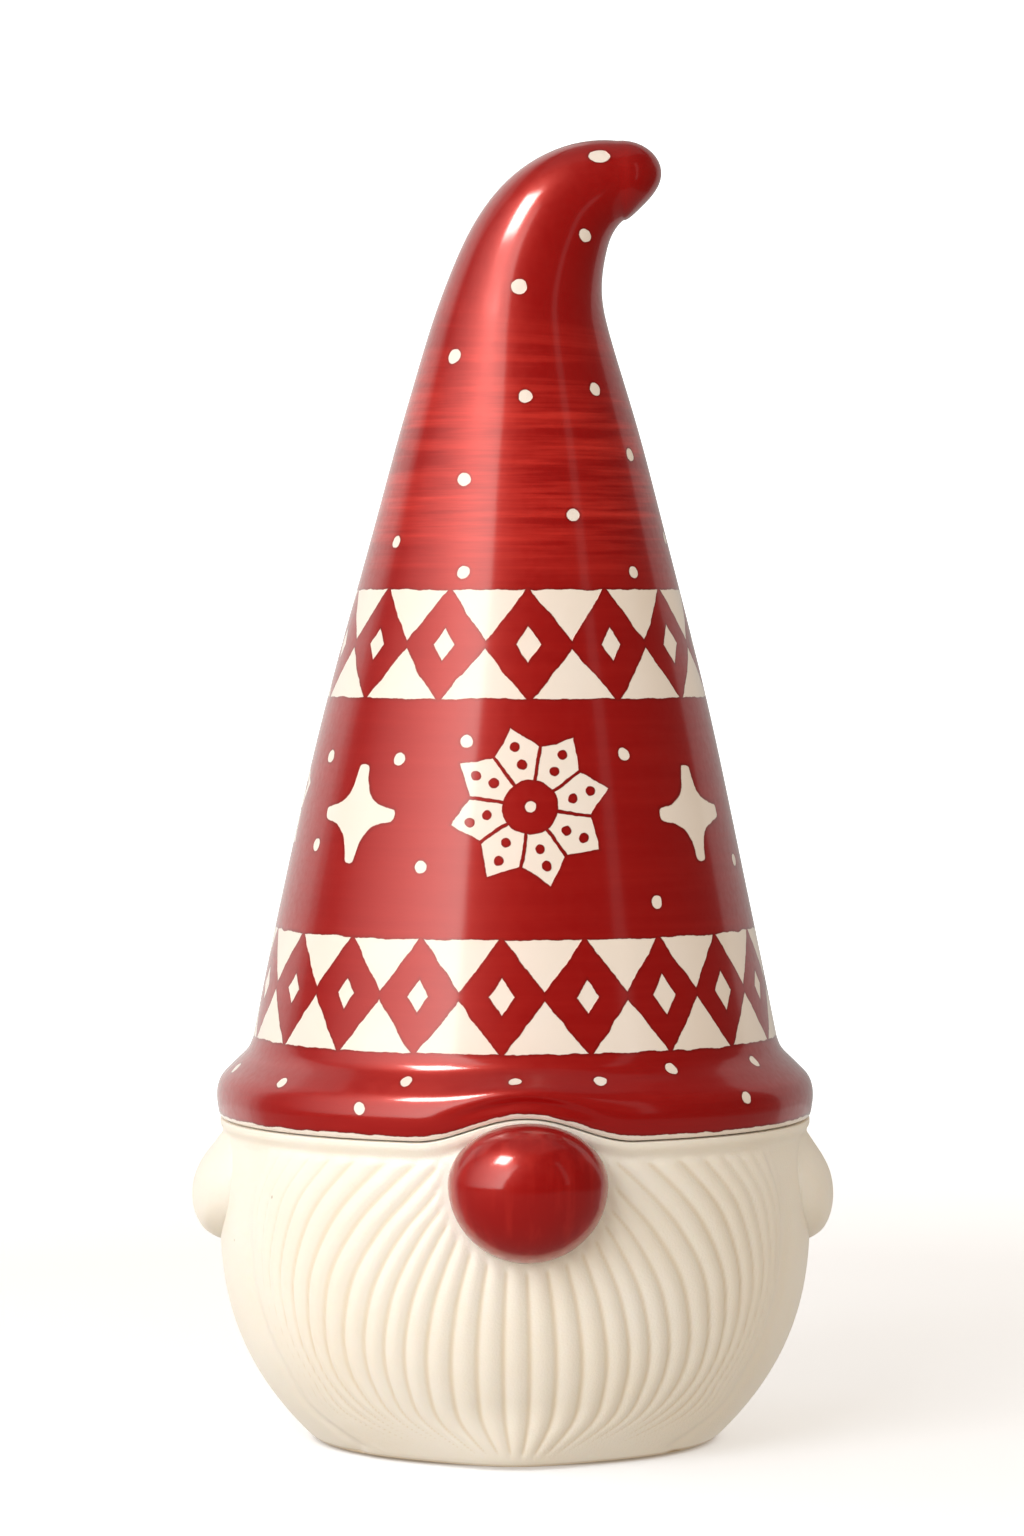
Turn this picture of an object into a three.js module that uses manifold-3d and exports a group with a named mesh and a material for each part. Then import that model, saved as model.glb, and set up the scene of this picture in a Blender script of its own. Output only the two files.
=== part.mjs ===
// A ceramic gnome jar: a round bearded body with a nose and two ears, and a tall
// pointed hat that lifts off as the lid. Millimetres, +Z up, the face looks along -Y.
// The origin is the middle of the felt under the base.
import * as THREE from "three";
import { mergeVertices } from "three/addons/utils/BufferGeometryUtils.js";
import Module from "manifold-3d";

// ---- Driving dimensions ----

// Gap between two pieces that are glued or rest on each other.
const JOINT_GAP = 0.3;

// Jar: a round bowl with a straight neck that goes up inside the hat.
const JAR_FOOT_RADIUS = 47;
const JAR_BELLY_RADIUS = 68.7;
const JAR_BELLY_HEIGHT = 56;
const JAR_SHOULDER_DROP = 1.5;
const JAR_NECK_RADIUS = 64.4;
const JAR_RIM_HEIGHT = 84;
const JAR_WALL = 5;
const JAR_FLOOR = 5;
const RIM_ROUNDING = 1.4;
const FOOT_RECESS_DEPTH = 1.3;
const SIDE_FULLNESS = 2.7; // how soon the side swells above the foot

// Face band: the smooth roll under the brim, above the beard.
const FACE_BAND_HEIGHT = 4.6;
const FACE_BAND_BULGE = 0.9;

// Beard: it ends in a point at the front of the foot.
const BEARD_POINT = 4.5;
const BEARD_POINT_HALF_WIDTH = 15;
const BEARD_POINT_HEIGHT = 16;

// Felt disc in the recess under the base.
const FELT_RADIUS = 42.5;
const FELT_THICKNESS = 1.6;

// Hat: brim, cone and a tip that curls over to +X.
const BRIM_RADIUS = 69.3;
const BRIM_DROP = 9; // how far the brim hangs below the jar's rim
const BRIM_HEIGHT = 18.3;
const BRIM_CLEARANCE = 0.7;
const HAT_BASE_RADIUS = 60.9;
const HAT_LENGTH = 218; // from the top of the brim to the tip, along the curl
const HAT_WALL = 4.6;
const TIP_ROUNDING = 9;
const CURL_LENGTH = 76.5;
const CURL_ANGLE = THREE.MathUtils.degToRad(119);
const CURL_SHARPNESS = 2.7; // how late the curl tightens
const HAT_LEAN = 1;
const HAT_LEAN_LENGTH = 116;
const HOLLOW_BELOW_TIP = 44;
const HOLLOW_DOME = 18;

// Flange under the hat, which drops into the jar's mouth, and its seal.
const FLANGE_DEPTH = 12;
const FLANGE_THICKNESS = 3.9;
const FLANGE_CLEARANCE = 1.2;
const SEAL_HEIGHT = 5;
const SEAL_INSET = 1.2; // how deep the seal sits in the flange
const SEAL_PROUD = 0.8; // how far its ribs stand out of the flange
const SEAL_RIB_HEIGHT = 1.2;
const SEAL_ABOVE_FLANGE_END = 3;

// Nose: a ball on the face, under an arch in the brim.
const NOSE_HALF_WIDTH = 17.4;
const NOSE_UPPER = 13.4; // its top is squashed by the brim
const NOSE_LOWER = 17;
const NOSE_HALF_DEPTH = 15.5;
const NOSE_PROUD = 2.5; // the ball's centre in front of the jar's side
const NOSE_RISE = 4.6; // the ball's top above the brim's edge
const NOSE_CLEARANCE = 0.8;
const NOSE_TURN = THREE.MathUtils.degToRad(2);
const ARCH_MARGIN = 8.5; // width of the arch past each side of the nose

// Ears: flat lobes at the sides, with their tops under the brim.
const EAR_REACH = 8.5;
const EAR_SINK = 2.7; // the left lobe's centre inside the jar's side
const EAR_RIGHT_SINK = 3.8;
const EAR_UPPER = 19.4;
const EAR_LOWER = 10;
const EAR_HALF_WIDTH = 17;
const EAR_CLEARANCE = 0.6;

// Mesh fineness.
const TURN_STEPS = 48;
const SIDE_STEPS = 8;
const CONE_STEPS = 20;
const BRIM_STEPS = 8;
const ROUND_STEPS = 3;
const BALL_STEPS = 24;
const CURL_STEPS = 80;
const MERGE_DISTANCE = 1e-3;
const CUT_PAST = 10; // how far a cutting solid runs past what it cuts

// ---- Sizes that follow from them ----

const RECESS_TOP = FELT_THICKNESS + JOINT_GAP;
const FOOT_HEIGHT = RECESS_TOP - FOOT_RECESS_DEPTH;
const FLOOR_TOP = RECESS_TOP + JAR_FLOOR;
const MOUTH_RADIUS = JAR_NECK_RADIUS - JAR_WALL;
const BRIM_EDGE = JAR_RIM_HEIGHT - BRIM_DROP;
const BRIM_TOP = BRIM_EDGE + BRIM_HEIGHT;
const BRIM_INNER_RADIUS = JAR_NECK_RADIUS + BRIM_CLEARANCE;
const BAND_TOP = BRIM_EDGE - BRIM_CLEARANCE;
const BAND_BOTTOM = BAND_TOP - FACE_BAND_HEIGHT;
const BAND_RADIUS = JAR_BELLY_RADIUS - JAR_SHOULDER_DROP + FACE_BAND_BULGE;
const SEAT_HEIGHT = JAR_RIM_HEIGHT + JOINT_GAP;
const HAT_TIP = BRIM_TOP + HAT_LENGTH;
const CURL_START = HAT_TIP - CURL_LENGTH;
const FLANGE_RADIUS = MOUTH_RADIUS - FLANGE_CLEARANCE;
const FLANGE_BORE = FLANGE_RADIUS - FLANGE_THICKNESS;
const FLANGE_END = SEAT_HEIGHT - FLANGE_DEPTH;
const SEAL_BOTTOM = FLANGE_END + SEAL_ABOVE_FLANGE_END;
const NOSE_CENTRE = BRIM_EDGE + NOSE_RISE - NOSE_UPPER;
const ARCH_RISE = NOSE_RISE + NOSE_CLEARANCE;
const ARCH_HALF_ANGLE = (NOSE_HALF_WIDTH + ARCH_MARGIN) / BRIM_RADIUS;
const EAR_CENTRE = BRIM_EDGE - EAR_CLEARANCE - EAR_UPPER;

// ---- Helpers ----

const { smoothstep } = THREE.MathUtils;
const wasm = await Module();
wasm.setup();

function at(radius, height) {
  return new THREE.Vector2(radius, height);
}

// Points on a quarter ellipse that starts at the angle start.
function quarter(radius, height, halfWidth, halfHeight, start) {
  const points = [];
  for (let i = 0; i <= ROUND_STEPS; i++) {
    const a = start + (Math.PI / 2) * (i / ROUND_STEPS);
    points.push(at(radius + halfWidth * Math.cos(a), height + halfHeight * Math.sin(a)));
  }
  return points;
}

// Turns a profile of radius and height points about the Z axis.
function turned(profile) {
  return new THREE.LatheGeometry(profile, TURN_STEPS).rotateX(Math.PI / 2);
}

function moved(geometry, move) {
  const position = geometry.getAttribute("position");
  const p = new THREE.Vector3();
  for (let i = 0; i < position.count; i++) {
    move(p.fromBufferAttribute(position, i));
    position.setXYZ(i, p.x, p.y, p.z);
  }
  return geometry;
}

function solid(geometry) {
  const bare = new THREE.BufferGeometry();
  bare.setAttribute("position", geometry.toNonIndexed().getAttribute("position"));
  const merged = mergeVertices(bare, MERGE_DISTANCE);
  const vertProperties = merged.getAttribute("position").array;
  const triVerts = new Uint32Array(merged.index.array);
  return new wasm.Manifold(new wasm.Mesh({ numProp: 3, vertProperties, triVerts }));
}

// A square-edged ring, or a disc when it has no inner radius.
function ring(innerRadius, outerRadius, bottom, top) {
  const profile = [at(innerRadius, bottom), at(outerRadius, bottom)];
  profile.push(at(outerRadius, top), at(innerRadius, top));
  if (innerRadius > 0) profile.push(at(innerRadius, bottom));
  return solid(turned(profile));
}

function piece(name, made, material) {
  const mesh = made.getMesh();
  const geometry = new THREE.BufferGeometry();
  geometry.setAttribute("position", new THREE.BufferAttribute(mesh.vertProperties, 3));
  geometry.setIndex(new THREE.BufferAttribute(mesh.triVerts, 1));
  geometry.computeVertexNormals();
  const result = new THREE.Mesh(geometry, material);
  result.name = name;
  return result;
}

// ---- Shape functions ----

// Radius of the jar's side at a height between the foot and the face band.
function sideRadius(z) {
  if (z < JAR_BELLY_HEIGHT) {
    const t = (z - FOOT_HEIGHT) / (JAR_BELLY_HEIGHT - FOOT_HEIGHT);
    const swell = 1 - (1 - t) ** SIDE_FULLNESS;
    return JAR_FOOT_RADIUS + (JAR_BELLY_RADIUS - JAR_FOOT_RADIUS) * swell;
  }
  const t = (z - JAR_BELLY_HEIGHT) / (BAND_BOTTOM - JAR_BELLY_HEIGHT);
  return JAR_BELLY_RADIUS - JAR_SHOULDER_DROP * t ** 2;
}

// The cone's outline, as parts of its base radius at parts of its length.
const hatTaper = new THREE.SplineCurve([
  at(1, 0),
  at(0.899, 0.145),
  at(0.738, 0.358),
  at(0.546, 0.572),
  at(0.465, 0.661),
  at(0.401, 0.725),
  at(0.344, 0.781),
  at(0.292, 0.836),
  at(0.233, 0.92),
  at(0.152, 1),
]);

// Outline of the cone, or of its hollow when there is an inset, at a part of its length.
function hatOutline(t, inset) {
  const p = hatTaper.getPoint(t);
  return at(p.x * HAT_BASE_RADIUS - inset, BRIM_TOP + p.y * (HAT_LENGTH - TIP_ROUNDING));
}

// 1 straight above the nose, down to 0 at the ends of the arch.
function archAt(x, y) {
  const turn = Math.abs(Math.atan2(x, -y) - NOSE_TURN);
  return turn < ARCH_HALF_ANGLE ? (1 + Math.cos((Math.PI * turn) / ARCH_HALF_ANGLE)) / 2 : 0;
}

// Draws the beard's point forward and lifts the face band with the brim's arch.
function shapeJarSide(p) {
  const front = p.y < 0 ? Math.exp(-((p.x / BEARD_POINT_HALF_WIDTH) ** 2)) : 0;
  const lift = archAt(p.x, p.y);
  p.y -= BEARD_POINT * front * (1 - smoothstep(p.z, FOOT_HEIGHT, BEARD_POINT_HEIGHT));
  const below = smoothstep(p.z, JAR_BELLY_HEIGHT, BAND_BOTTOM);
  const above = 1 - smoothstep(p.z, BAND_TOP, JAR_RIM_HEIGHT);
  p.z += ARCH_RISE * lift * below * above;
}

// Lifts the brim over the nose, leans the cone and curls its tip.
function shapeHat(p) {
  p.z += ARCH_RISE * archAt(p.x, p.y) * (1 - smoothstep(p.z, BRIM_EDGE, BRIM_TOP));
  const lean = HAT_LEAN * smoothstep(p.z, CURL_START - HAT_LEAN_LENGTH, CURL_START);
  const past = Math.max(p.z - CURL_START, 0);
  const step = past / CURL_STEPS;
  let angle = 0;
  let x = lean;
  let z = p.z - past;
  for (let i = 0; i < CURL_STEPS; i++) {
    angle = CURL_ANGLE * ((step * (i + 0.5)) / CURL_LENGTH) ** CURL_SHARPNESS;
    x += step * Math.sin(angle);
    z += step * Math.cos(angle);
  }
  angle = CURL_ANGLE * (past / CURL_LENGTH) ** CURL_SHARPNESS;
  p.set(x + p.x * Math.cos(angle), p.y, z - p.x * Math.sin(angle));
}

// ---- Jar ----

// The jar's outside below the face band, bigger all round by an offset, between a given
// bottom and top, and filled.
function filledJar(offset, bottom, top) {
  const side = [];
  for (let i = 0; i <= SIDE_STEPS; i++) {
    const z = FOOT_HEIGHT + (BAND_BOTTOM - FOOT_HEIGHT) * (i / SIDE_STEPS);
    side.push(at(sideRadius(z) + offset, z));
  }
  return solid(moved(turned([...bottom, ...side, ...top]), shapeJarSide));
}

function jar() {
  const roll = FACE_BAND_HEIGHT / 3;
  const bulge = BAND_RADIUS - JAR_NECK_RADIUS;
  const band = quarter(JAR_NECK_RADIUS, BAND_BOTTOM + roll, bulge, FACE_BAND_HEIGHT - roll, 0);
  const rimCentre = JAR_RIM_HEIGHT - RIM_ROUNDING;
  const rim = quarter(JAR_NECK_RADIUS - RIM_ROUNDING, rimCentre, RIM_ROUNDING, RIM_ROUNDING, 0);
  const top = [...band, ...rim, at(0, JAR_RIM_HEIGHT)];
  const floorRadius = sideRadius(FLOOR_TOP) - JAR_WALL - JAR_FLOOR;
  const hollow = [at(0, FLOOR_TOP), at(floorRadius, FLOOR_TOP)];
  const low = FLOOR_TOP + JAR_FLOOR;
  const high = BAND_BOTTOM - JAR_WALL;
  for (let i = 0; i < SIDE_STEPS; i++) {
    const z = low + ((high - low) * i) / (SIDE_STEPS - 1);
    hollow.push(at(sideRadius(z) - JAR_WALL, z));
  }
  const flare = MOUTH_RADIUS + RIM_ROUNDING;
  const above = JAR_RIM_HEIGHT + CUT_PAST;
  hollow.push(at(MOUTH_RADIUS, BAND_TOP), at(MOUTH_RADIUS, rimCentre));
  hollow.push(at(flare, JAR_RIM_HEIGHT), at(flare, above), at(0, above));
  const recess = ring(0, FELT_RADIUS + JOINT_GAP, FOOT_HEIGHT - CUT_PAST, RECESS_TOP);
  return filledJar(0, [at(0, FOOT_HEIGHT)], top).subtract(solid(turned(hollow))).subtract(recess);
}

// Cuts what is glued to the jar, so that it stands a joint gap off its side and band.
function jarCutter() {
  const below = FOOT_HEIGHT - CUT_PAST;
  const above = JAR_RIM_HEIGHT + CUT_PAST;
  const wall = BAND_RADIUS + JOINT_GAP;
  const bottom = [at(0, below), at(JAR_FOOT_RADIUS, below)];
  return filledJar(JOINT_GAP, bottom, [at(wall, BAND_BOTTOM + JOINT_GAP), at(wall, above), at(0, above)]);
}

function felt() {
  return ring(0, FELT_RADIUS, 0, FELT_THICKNESS);
}

// ---- Face ----

function nose() {
  const ball = new THREE.SphereGeometry(1, BALL_STEPS, BALL_STEPS / 2).rotateX(Math.PI / 2);
  moved(ball, (p) => {
    p.x *= NOSE_HALF_WIDTH;
    p.y = p.y * NOSE_HALF_DEPTH - sideRadius(NOSE_CENTRE) - NOSE_PROUD;
    p.z = NOSE_CENTRE + p.z * (p.z > 0 ? NOSE_UPPER : NOSE_LOWER);
  });
  return solid(ball.rotateZ(NOSE_TURN)).subtract(jarCutter());
}

// side is -1 for the left ear and 1 for the right one.
function ear(side, sink) {
  const lobe = new THREE.SphereGeometry(1, BALL_STEPS, BALL_STEPS / 2).rotateX(Math.PI / 2);
  moved(lobe, (p) => {
    p.x = side * (sideRadius(EAR_CENTRE) - sink) + p.x * EAR_REACH;
    p.y *= EAR_HALF_WIDTH;
    p.z = EAR_CENTRE + p.z * (p.z > 0 ? EAR_UPPER : EAR_LOWER);
  });
  return solid(lobe).subtract(jarCutter());
}

// ---- Hat ----

function hat() {
  const lip = (BRIM_RADIUS - BRIM_INNER_RADIUS) / 2;
  const brim = new THREE.SplineCurve([
    at(BRIM_INNER_RADIUS + lip, BRIM_EDGE),
    at(BRIM_RADIUS - 0.5, BRIM_EDGE + 2),
    at(BRIM_RADIUS, BRIM_EDGE + 5.5),
    at(BRIM_RADIUS - 0.9, BRIM_EDGE + 9),
    at((BRIM_RADIUS + HAT_BASE_RADIUS) / 2 + 0.6, BRIM_EDGE + 12),
    at(HAT_BASE_RADIUS + 1.3, BRIM_TOP - 2.8),
    at(HAT_BASE_RADIUS, BRIM_TOP),
  ]).getPoints(BRIM_STEPS);
  const cone = [];
  for (let i = 1; i < CONE_STEPS; i++) cone.push(hatOutline(i / CONE_STEPS, 0));
  const end = hatOutline(1, 0);
  const tip = quarter(0, end.y, end.x, TIP_ROUNDING, 0);
  const underside = [at(0, BRIM_EDGE), at(FLANGE_BORE, BRIM_EDGE), at(BRIM_INNER_RADIUS, BRIM_EDGE)];
  const outside = solid(moved(turned([...underside, ...brim, ...cone, ...tip]), shapeHat));

  const hollow = [at(0, FLANGE_END - CUT_PAST), at(FLANGE_BORE, FLANGE_END - CUT_PAST)];
  const domeBase = HAT_TIP - HOLLOW_BELOW_TIP - HOLLOW_DOME;
  for (let i = 0; i < CONE_STEPS; i++) {
    const p = hatOutline(i / CONE_STEPS, HAT_WALL);
    if (p.x < FLANGE_BORE && p.y < domeBase) hollow.push(p);
  }
  hollow.push(...quarter(0, domeBase, hollow.at(-1).x - 1, HOLLOW_DOME, 0));
  const hollowSolid = solid(moved(turned(hollow), shapeHat));

  const flange = ring(0, FLANGE_RADIUS, FLANGE_END, SEAT_HEIGHT + HAT_WALL);
  const skirt = ring(FLANGE_RADIUS, BRIM_INNER_RADIUS, FLANGE_END - CUT_PAST, SEAT_HEIGHT);
  const grooveBottom = SEAL_BOTTOM - JOINT_GAP;
  const grooveTop = SEAL_BOTTOM + SEAL_HEIGHT + JOINT_GAP;
  const groove = ring(FLANGE_RADIUS - SEAL_INSET, MOUTH_RADIUS, grooveBottom, grooveTop);
  return outside.add(flange).subtract(skirt).subtract(groove).subtract(hollowSolid);
}

// A soft ring with two ribs that touch the jar's mouth.
function seal() {
  const inner = FLANGE_RADIUS - SEAL_INSET + JOINT_GAP;
  const outer = FLANGE_RADIUS + SEAL_PROUD;
  const top = SEAL_BOTTOM + SEAL_HEIGHT;
  const profile = [at(inner, SEAL_BOTTOM)];
  for (const ribBottom of [SEAL_BOTTOM, top - SEAL_RIB_HEIGHT]) {
    profile.push(at(FLANGE_RADIUS, ribBottom));
    profile.push(at(outer, ribBottom + SEAL_RIB_HEIGHT / 2));
    profile.push(at(FLANGE_RADIUS, ribBottom + SEAL_RIB_HEIGHT));
  }
  profile.push(at(inner, top), at(inner, SEAL_BOTTOM));
  return solid(turned(profile));
}

// ---- Materials and assembly ----

const creamGlaze = new THREE.MeshStandardMaterial({ color: 0xe9dfca, roughness: 0.45 });
const redGlaze = new THREE.MeshStandardMaterial({ color: 0xb4141a, roughness: 0.12 });
const silicone = new THREE.MeshStandardMaterial({ color: 0xe6e2da, roughness: 0.6 });
const greyFelt = new THREE.MeshStandardMaterial({ color: 0x6d6862, roughness: 1 });

const jarGroup = new THREE.Group();
jarGroup.add(piece("jar_body", jar(), creamGlaze));
jarGroup.add(piece("nose", nose(), redGlaze));
jarGroup.add(piece("ear_left", ear(-1, EAR_SINK), creamGlaze));
jarGroup.add(piece("ear_right", ear(1, EAR_RIGHT_SINK), creamGlaze));
jarGroup.add(piece("base_felt", felt(), greyFelt));

const hatGroup = new THREE.Group();
hatGroup.add(piece("hat_lid", hat(), redGlaze));
hatGroup.add(piece("lid_seal", seal(), silicone));

const group = new THREE.Group();
group.add(jarGroup, hatGroup);

export default group;
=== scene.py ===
"""A glazed ceramic gnome jar whose pointed hat is its lid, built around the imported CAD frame.

Shapes are worked out in millimetres and become metres when a mesh is finished. +Z is up,
the face looks along -Y, and an azimuth is the turn from the face towards +X.
"""

import math

import bmesh
import bpy
import numpy as np
from mathutils import Matrix, Vector


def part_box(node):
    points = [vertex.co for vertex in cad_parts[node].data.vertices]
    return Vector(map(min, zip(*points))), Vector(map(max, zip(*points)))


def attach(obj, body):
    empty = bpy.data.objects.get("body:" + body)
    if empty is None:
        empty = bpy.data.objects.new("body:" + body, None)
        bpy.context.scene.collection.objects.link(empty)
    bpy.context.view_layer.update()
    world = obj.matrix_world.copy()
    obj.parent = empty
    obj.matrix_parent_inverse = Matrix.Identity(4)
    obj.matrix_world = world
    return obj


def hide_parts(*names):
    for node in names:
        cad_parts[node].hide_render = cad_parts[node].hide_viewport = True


bl_info = {
    "name": "Gnome Jar",
    "version": (1, 0, 0),
    "blender": (4, 5, 0),
    "location": "View3D > Sidebar > Gnome Jar",
    "description": "Builds a glazed ceramic gnome jar with a hat for a lid",
    "category": "Add Mesh",
}

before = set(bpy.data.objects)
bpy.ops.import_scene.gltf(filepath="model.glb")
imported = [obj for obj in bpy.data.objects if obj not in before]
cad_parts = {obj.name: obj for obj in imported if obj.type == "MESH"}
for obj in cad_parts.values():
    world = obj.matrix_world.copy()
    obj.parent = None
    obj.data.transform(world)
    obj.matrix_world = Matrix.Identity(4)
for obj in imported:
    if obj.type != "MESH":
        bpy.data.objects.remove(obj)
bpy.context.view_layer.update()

MM = 1000.0
JAR_LOW, JAR_HIGH = (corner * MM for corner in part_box("jar_body"))
HAT_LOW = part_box("hat_lid")[0] * MM
NOSE_LOW, NOSE_HIGH = (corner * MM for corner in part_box("nose"))
FELT_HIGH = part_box("base_felt")[1] * MM
SEAL_LOW, SEAL_HIGH = (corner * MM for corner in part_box("lid_seal"))
LEFT_EAR_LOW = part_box("ear_left")[0] * MM
RIGHT_EAR_LOW, RIGHT_EAR_HIGH = (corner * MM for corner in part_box("ear_right"))

# Fixed sizes of the two shells, in millimetres, as the CAD frame has them.
GLUE_GAP = 0.3
FOOT_RADIUS = 47.0
BELLY_RADIUS = JAR_HIGH.x
BELLY_HEIGHT = 56.0
SHOULDER_DROP = 1.5
SIDE_FULLNESS = 2.7
NECK_RADIUS = 64.4
RIM_HEIGHT = JAR_HIGH.z
RIM_ROUNDING = 1.4
POINT_OUT = 4.5
POINT_HALF_WIDTH = 15.0
POINT_TOP = 16.0
WALL = 5.0
FOOT_HEIGHT = JAR_LOW.z
FELT_RADIUS = FELT_HIGH.x
RECESS_TOP = FELT_HIGH.z + GLUE_GAP
FLOOR_TOP = RECESS_TOP + WALL
MOUTH_RADIUS = NECK_RADIUS - WALL
BRIM_RADIUS = 69.3
BRIM_EDGE = RIM_HEIGHT - 9.0
BRIM_TOP = BRIM_EDGE + 18.3
BRIM_BORE = NECK_RADIUS + 0.7
BAND_TOP = BRIM_EDGE - 0.15
BAND_BOTTOM = BRIM_EDGE - 4.0
BAND_RADIUS = 68.5
SEAT_HEIGHT = RIM_HEIGHT + GLUE_GAP
HAT_BASE = 60.9
HAT_LENGTH = 218.0
HAT_TIP = BRIM_TOP + HAT_LENGTH
HAT_WALL = 4.6
TIP_ROUNDING = 9.0
CURL_LENGTH = 76.5
CURL_START = HAT_TIP - CURL_LENGTH
CURL_ANGLE = math.radians(119)
CURL_SHARPNESS = 2.7
HAT_LEAN = 1.0
LEAN_START = CURL_START - 116.0
HOLLOW_TOP = HAT_TIP - 44.0
HOLLOW_DOME = 18.0
FLANGE_RADIUS = MOUTH_RADIUS - 1.2
FLANGE_BORE = FLANGE_RADIUS - 3.9
FLANGE_END = HAT_LOW.z
SEAL_INNER = FLANGE_RADIUS - 1.2
SEAL_BOTTOM = SEAL_LOW.z
SEAL_TOP = SEAL_HIGH.z
NOSE_HALF_WIDTH = 17.4
NOSE_UPPER = 13.4
NOSE_LOWER = NOSE_HIGH.z - NOSE_LOW.z - NOSE_UPPER
NOSE_HALF_DEPTH = 15.5
NOSE_CENTRE = NOSE_HIGH.z - NOSE_UPPER
NOSE_OUT = -NOSE_LOW.y - NOSE_HALF_DEPTH
NOSE_TURN = math.radians(2)
EAR_BOTTOM = RIGHT_EAR_LOW.z
EAR_MIDDLE = EAR_BOTTOM + 10.5
EAR_TOP = BRIM_EDGE - 0.6
ARCH_RISE = 5.4
ARCH_HALF_ANGLE = (NOSE_HALF_WIDTH + 8.5) / BRIM_RADIUS

# The cone's outline, as parts of its base radius at parts of its length.
HAT_TAPER = (
    (1, 0),
    (0.899, 0.145),
    (0.738, 0.358),
    (0.546, 0.572),
    (0.465, 0.661),
    (0.401, 0.725),
    (0.344, 0.781),
    (0.292, 0.836),
    (0.233, 0.92),
    (0.152, 1),
)

# Eight of the beard's flutes by number, counted out from the middle, and their paths:
# each row is a height and how far out each of them lies there.
BEARD_NUMBERS = (0, 3.5, 6.5, 8.5, 10.5, 12.5, 14.5, 16.5)
BEARD_PATHS = (
    (3, 0, 8, 12.5, 16, 20, 26, 32, 36),
    (11, 0, 16.8, 26.3, 31.1, 37.4, 41.5, 44.5, 46.8),
    (19, 0, 19.5, 31.9, 39.2, 43.9, 47.2, 49.8, 52),
    (28, 0, 20, 34, 42.6, 48.3, 52, 54.5, 56.5),
    (38, 0, 18.6, 33, 42.8, 50.2, 54.9, 57.5, 59.6),
    (46, 0, 16.2, 30.3, 41.1, 49.7, 55.5, 58.5, 60.8),
    (55, 0, 12.5, 25, 36.3, 47.1, 54.1, 58.5, 61.4),
    (62, 0, 9, 19.1, 30.7, 43.2, 51.8, 57, 61),
    (70, 0, 6, 13, 22.5, 36.4, 46.4, 53.3, 59.5),
)

# The two bands of diamonds: lower edge, upper edge, number of diamonds and turn in degrees.
UPPER_BAND = (172.5, 197.0, 13, 3.5)
LOWER_BAND = (94.0, 119.0, 19, -2.9)
DIAMOND_SIZE = 1.075

# The ring of seven flowers and stars: its height, its turn and a flower's own turn.
MOTIFS = 7
MOTIF_HEIGHT = 148.5
MOTIF_TURN = math.radians(3.8)
PETALS = 8
FLOWER_TURN = math.radians(13.2)
STAR_HOLLOW = 16.5
STAR_ACROSS = 1.2
STAR_DOWN = 2.2

# Loose dots on the front of the hat: azimuth in degrees, height along the unbent hat.
CONE_DOTS = (
    (-34, 299),
    (34, 285),
    (-5, 266),
    (86, 258),
    (-41, 250),
    (44, 243),
    (3, 241),
    (-88, 227),
    (60, 228),
    (-24, 222),
    (22, 214),
    (80, 209),
    (-54, 208),
    (-20, 201),
    (46, 201),
    (-87, 200),
)
MIDDLE_DOTS = (
    (-64, 159),
    (-34, 159),
    (-14, 163),
    (31, 160),
    (-62, 139),
    (-24, 135),
    (74, 135),
    (36, 127),
)
BRIM_DOTS = (
    (-78, 87),
    (-52, 86),
    (-30, 82),
    (-22, 88),
    (0, 87),
    (17, 88),
    (34, 90),
    (60, 90),
    (49, 83),
)


# ---- Colour and node helpers ----


def linear(colour):
    """Turns an sRGB hex colour into linear red, green, blue and alpha."""
    parts = [int(colour[i : i + 2], 16) / 255 for i in (0, 2, 4)]
    return [p / 12.92 if p <= 0.04045 else ((p + 0.055) / 1.055) ** 2.4 for p in parts] + [1.0]


def add(tree, kind, *values, sockets=None, **settings):
    """Adds one node: values go to its inputs in order, and a node stands for its first output."""
    made = tree.nodes.new("ShaderNode" + kind)
    for name, value in settings.items():
        setattr(made, name, value)
    for key, value in [*enumerate(values), *(sockets or {}).items()]:
        if isinstance(value, bpy.types.Node):
            value = value.outputs[0]
        if isinstance(value, bpy.types.NodeSocket):
            tree.links.new(value, made.inputs[key])
        elif value is not None:
            made.inputs[key].default_value = value
    return made


def blank_material(name):
    """An empty node material with its output."""
    material = bpy.data.materials.new(name)
    material.use_nodes = True
    material.node_tree.nodes.clear()
    return material, material.node_tree, material.node_tree.nodes.new("ShaderNodeOutputMaterial")


def in_millimetres(tree):
    """The place on a piece, in millimetres in the frame."""
    place = add(tree, "TexCoord").outputs["Object"]
    return add(tree, "VectorMath", place, (MM, MM, MM), operation="MULTIPLY")


# ---- Mesh helpers ----


def smoothstep(value, start, end):
    """0 at start, 1 at end, and level at both."""
    t = np.clip((value - start) / (end - start), 0, 1)
    return t * t * (3 - 2 * t)


def arc(radius, height, half_width, half_height, start, end, steps):
    """Points on part of an ellipse, between two angles in degrees."""
    angles = np.radians(np.linspace(start, end, steps + 1))
    return [(radius + half_width * math.cos(a), height + half_height * math.sin(a)) for a in angles]


def spline(controls, steps):
    """Points on a smooth curve through control points."""
    c = np.array(controls, float)
    points = []
    for place in np.linspace(0, len(c) - 1, steps + 1):
        i = min(int(place), len(c) - 2)
        w = place - i
        before, a, b, after = c[max(i - 1, 0)], c[i], c[i + 1], c[min(i + 2, len(c) - 1)]
        leave, arrive = (b - before) / 2, (after - a) / 2
        bend = (2 * a - 2 * b + leave + arrive) * w**3
        points.append(bend + (3 * b - 3 * a - 2 * leave - arrive) * w**2 + leave * w + a)
    return points


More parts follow.
